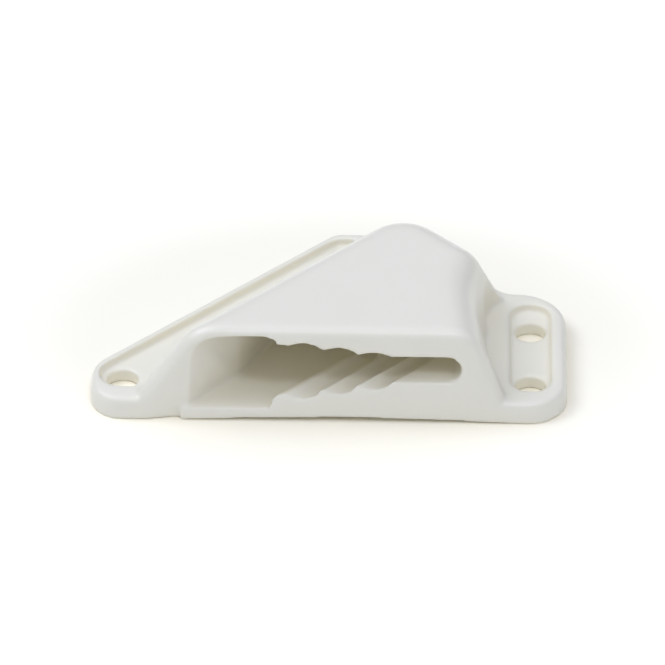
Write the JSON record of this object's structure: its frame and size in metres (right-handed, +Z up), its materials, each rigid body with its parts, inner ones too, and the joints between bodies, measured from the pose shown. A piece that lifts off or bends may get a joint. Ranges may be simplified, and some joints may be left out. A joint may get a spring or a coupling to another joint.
{
  "type": "line cleat",
  "caption": "Side entry line cleat: a three-cornered hood over a line passage, a toothed slot that narrows between jaws in its front face, and a flat base with sunk screw holes.",
  "frame": {"origin": "centre of the bounding box in the plane of the underside", "axes": "+X along the front from the pointed tip to the wide end, +Y from the toothed front face to the back, +Z up from the surface that the cleat is screwed to"},
  "size_m": [0.082, 0.0522, 0.018],
  "materials": {
    "nylon": "smooth off-white moulded nylon with a soft gloss"
  },
  "bodies": {
    "root": {"cleat_body": "nylon"}
  },
  "joints": []
}
